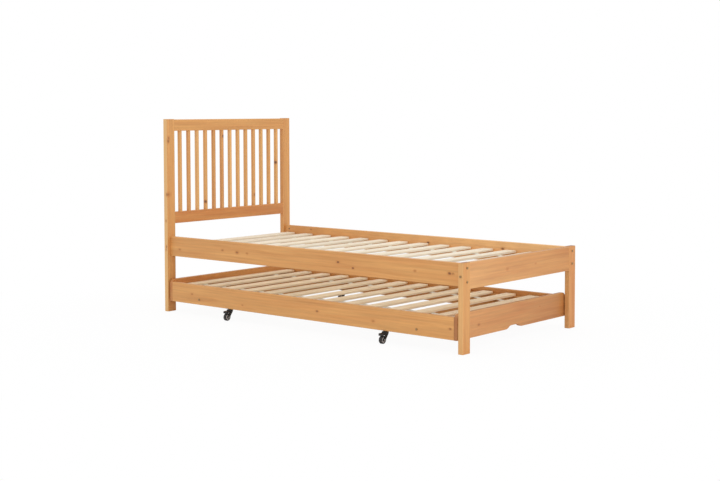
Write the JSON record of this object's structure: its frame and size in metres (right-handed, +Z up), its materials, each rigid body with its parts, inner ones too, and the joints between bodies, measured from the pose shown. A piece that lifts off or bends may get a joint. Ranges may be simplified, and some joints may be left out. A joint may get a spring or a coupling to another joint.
{
  "type": "trundle bed",
  "caption": "Single pine bed with a tall slatted headboard and an open slat deck, over a low slatted trundle bed on swivel casters that rolls out sideways.",
  "frame": {"origin": "on the floor, in the middle of the whole bed's footprint", "axes": "+X along the bed from the headboard to the foot end, -Y to the side where the low bed rolls out, +Z up"},
  "size_m": [2.079, 1.0425, 1.09],
  "materials": {
    "stained_pine": "honey stain, satin lacquer",
    "plain_pine": "planed, untreated",
    "beech": "turned, untreated",
    "webbing": "woven polyester tape",
    "zinc_steel": "zinc plated",
    "bronzed_steel": "dark bronze plated",
    "black_steel": "black lacquer",
    "black_plastic": "moulded",
    "wheel_plastic": "moulded, black tyre with a grey disc on each side"
  },
  "bodies": {
    "bed_frame": {"head_post_near": "stained_pine", "head_post_far": "stained_pine", "headboard_top_rail": "stained_pine", "headboard_lower_rail": "stained_pine", "side_rail_near": "stained_pine", "side_rail_far": "stained_pine", "foot_rail": "stained_pine", "foot_leg_near": "stained_pine", "foot_leg_far": "stained_pine", "headboard_slat_01": "stained_pine", "headboard_slat_02": "stained_pine", "headboard_slat_03": "stained_pine", "headboard_slat_04": "stained_pine", "headboard_slat_05": "stained_pine", "headboard_slat_06": "stained_pine", "headboard_slat_07": "stained_pine", "headboard_slat_08": "stained_pine", "headboard_slat_09": "stained_pine", "headboard_slat_10": "stained_pine", "headboard_slat_11": "stained_pine", "headboard_slat_12": "stained_pine", "headboard_slat_13": "stained_pine", "bed_ledger_near": "stained_pine", "bed_ledger_far": "stained_pine", "bed_slats": "plain_pine", "bed_slat_tapes": "webbing", "frame_bolts": "bronzed_steel", "frame_barrel_nuts": "zinc_steel", "bed_ledger_screws": "zinc_steel"},
    "trundle": {"trundle_rail_near": "stained_pine", "trundle_rail_far": "stained_pine", "trundle_head_board": "stained_pine", "trundle_foot_board": "stained_pine", "trundle_stretcher_head": "stained_pine", "trundle_stretcher_foot": "stained_pine", "trundle_caster_bar_head": "stained_pine", "trundle_caster_bar_foot": "stained_pine", "trundle_ledger_near": "stained_pine", "trundle_ledger_far": "stained_pine", "trundle_slats": "plain_pine", "trundle_slat_tapes": "webbing", "trundle_bolts": "bronzed_steel", "trundle_barrel_nuts": "zinc_steel", "trundle_dowels": "beech", "trundle_ledger_screws": "zinc_steel", "caster_inserts": "zinc_steel", "caster_stems": "black_steel"},
    "caster_near_head": {"caster_fork_near_head": "black_plastic", "caster_axle_near_head": "zinc_steel"},
    "wheel_near_head": {"caster_wheel_near_head": "wheel_plastic"},
    "caster_near_foot": {"caster_fork_near_foot": "black_plastic", "caster_axle_near_foot": "zinc_steel"},
    "wheel_near_foot": {"caster_wheel_near_foot": "wheel_plastic"},
    "caster_far_head": {"caster_fork_far_head": "black_plastic", "caster_axle_far_head": "zinc_steel"},
    "wheel_far_head": {"caster_wheel_far_head": "wheel_plastic"},
    "caster_far_foot": {"caster_fork_far_foot": "black_plastic", "caster_axle_far_foot": "zinc_steel"},
    "wheel_far_foot": {"caster_wheel_far_foot": "wheel_plastic"}
  },
  "joints": [
    {"name": "trundle_roll_out", "type": "slide", "parent": "bed_frame", "child": "trundle", "axis": [0, -1, 0], "range_m": [0, 0.965]},
    {"name": "swivel_near_head", "type": "hinge", "parent": "trundle", "child": "caster_near_head", "pos_m": [-0.522, -0.47925, 0.0577], "axis": [0, 0, 1], "continuous": true},
    {"name": "roll_near_head", "type": "hinge", "parent": "caster_near_head", "child": "wheel_near_head", "pos_m": [-0.522, -0.50125, 0.02], "axis": [1, 0, 0], "continuous": true},
    {"name": "swivel_near_foot", "type": "hinge", "parent": "trundle", "child": "caster_near_foot", "pos_m": [0.564, -0.47925, 0.0577], "axis": [0, 0, 1], "continuous": true},
    {"name": "roll_near_foot", "type": "hinge", "parent": "caster_near_foot", "child": "wheel_near_foot", "pos_m": [0.564, -0.50125, 0.02], "axis": [1, 0, 0], "continuous": true},
    {"name": "swivel_far_head", "type": "hinge", "parent": "trundle", "child": "caster_far_head", "pos_m": [-0.522, 0.46375, 0.0577], "axis": [0, 0, 1], "continuous": true},
    {"name": "roll_far_head", "type": "hinge", "parent": "caster_far_head", "child": "wheel_far_head", "pos_m": [-0.522, 0.44175, 0.02], "axis": [1, 0, 0], "continuous": true},
    {"name": "swivel_far_foot", "type": "hinge", "parent": "trundle", "child": "caster_far_foot", "pos_m": [0.564, 0.46375, 0.0577], "axis": [0, 0, 1], "continuous": true},
    {"name": "roll_far_foot", "type": "hinge", "parent": "caster_far_foot", "child": "wheel_far_foot", "pos_m": [0.564, 0.44175, 0.02], "axis": [1, 0, 0], "continuous": true}
  ]
}
